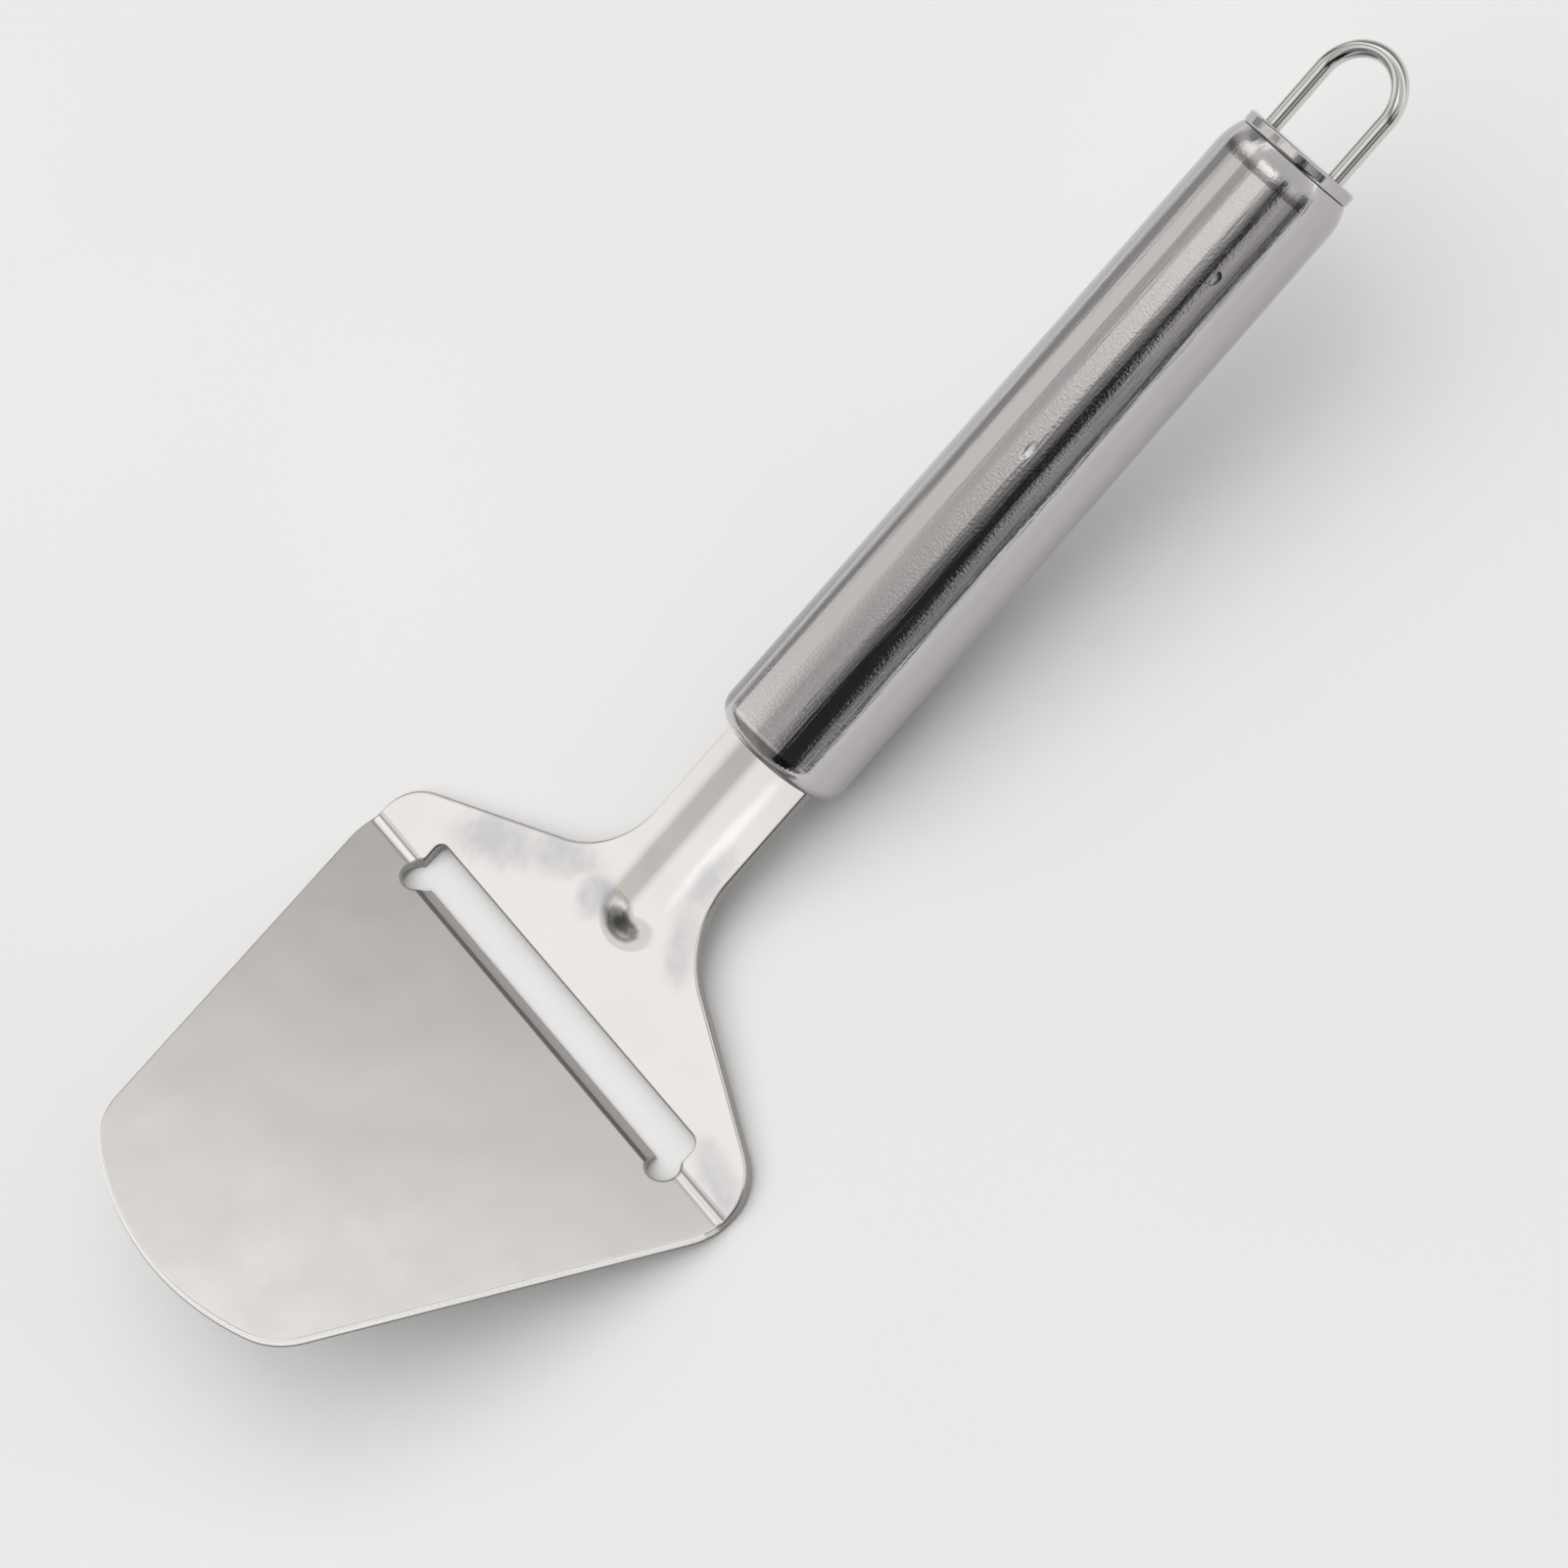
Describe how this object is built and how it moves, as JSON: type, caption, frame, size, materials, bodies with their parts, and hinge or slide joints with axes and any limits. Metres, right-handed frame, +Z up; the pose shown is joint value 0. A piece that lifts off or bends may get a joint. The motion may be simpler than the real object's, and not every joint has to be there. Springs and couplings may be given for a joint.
{
  "type": "cheese slicer",
  "caption": "Hand cheese slicer: slotted steel blade with a turned-down cutting lip on a channelled neck, hollow round steel handle and wire hanging loop.",
  "frame": {"origin": "middle of the bounding box on the surface that the slicer lies on, top side up", "axes": "+X points along the tool to the hanging loop, +Y across the blade, +Z up; the tool rests on the bend beside its slot and on the front rim of the handle"},
  "size_m": [0.2236, 0.0828, 0.0374],
  "materials": {
    "blade_steel": "satin toe plate, polished shoulders and neck",
    "handle_steel": "polished, with fine lengthwise wear",
    "wire_steel": "polished",
    "weld_steel": "as welded, hidden inside the handle"
  },
  "bodies": {
    "root": {"blade": "blade_steel", "front_cap": "handle_steel", "handle_tube": "handle_steel", "rear_cap": "handle_steel", "hanging_loop": "wire_steel", "neck_weld_lower": "weld_steel", "neck_weld_upper": "weld_steel"}
  },
  "joints": []
}
